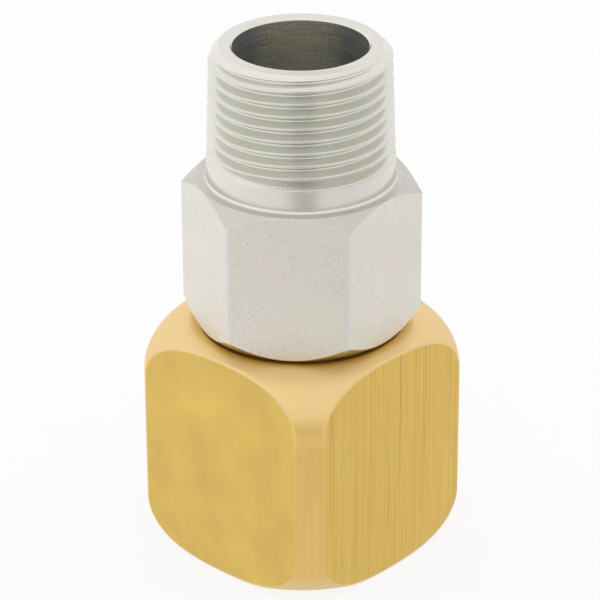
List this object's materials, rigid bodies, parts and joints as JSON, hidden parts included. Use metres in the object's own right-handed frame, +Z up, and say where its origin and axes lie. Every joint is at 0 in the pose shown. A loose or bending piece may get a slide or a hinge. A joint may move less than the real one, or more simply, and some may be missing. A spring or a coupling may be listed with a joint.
{
  "type": "swivel gas connector",
  "caption": "In-line swivel pipe connector: square brass body with a female taper thread, hexagon stem with a male taper thread turning in it on a sealed row of balls",
  "frame": {"origin": "middle of the body's lower face, on the axis of the gas way", "axes": "+Z up the gas way towards the male thread; +X and +Y square to two of the body's flats; the ball-loading plug is on the -X flat"},
  "size_m": [0.0444, 0.0444, 0.0984],
  "materials": {
    "body_brass": "machined, satin on the flats and polished on the turned shoulders",
    "plated_steel": "zinc-nickel plated, fine sand-like grain on the hexagon",
    "ball_steel": "polished bearing steel",
    "plug_steel": "black oxide",
    "seal_rubber": "satin nitrile rubber",
    "wiper_rubber": "amber polyurethane, satin",
    "guide_plastic": "bronze-filled PTFE",
    "washer_plastic": "white acetal"
  },
  "bodies": {
    "body": {"swivel_body": "body_brass", "ball_plug": "plug_steel", "thrust_washer": "washer_plastic", "dust_wiper": "wiper_rubber"},
    "stem": {"stem": "plated_steel", "o_ring_lower": "seal_rubber", "o_ring_upper": "seal_rubber", "guide_ring": "guide_plastic"},
    "ball_row": {"ball_01": "ball_steel", "ball_02": "ball_steel", "ball_03": "ball_steel", "ball_04": "ball_steel", "ball_05": "ball_steel", "ball_06": "ball_steel", "ball_07": "ball_steel", "ball_08": "ball_steel", "ball_09": "ball_steel", "ball_10": "ball_steel", "ball_11": "ball_steel", "ball_12": "ball_steel", "ball_13": "ball_steel", "ball_14": "ball_steel", "ball_15": "ball_steel", "ball_16": "ball_steel", "ball_17": "ball_steel", "ball_18": "ball_steel", "ball_19": "ball_steel", "ball_20": "ball_steel", "ball_21": "ball_steel", "ball_22": "ball_steel", "ball_23": "ball_steel", "ball_24": "ball_steel"}
  },
  "joints": [
    {"name": "stem_swivel", "type": "hinge", "parent": "body", "child": "stem", "pos_m": [0, 0, 0.0351], "axis": [0, 0, 1], "continuous": true},
    {"name": "ball_orbit", "type": "hinge", "parent": "body", "child": "ball_row", "pos_m": [0, 0, 0.0351], "axis": [0, 0, 1], "continuous": true}
  ],
  "couplings": [
    {"joint": "ball_orbit", "follows": "stem_swivel", "ratio": 0.4398}
  ]
}
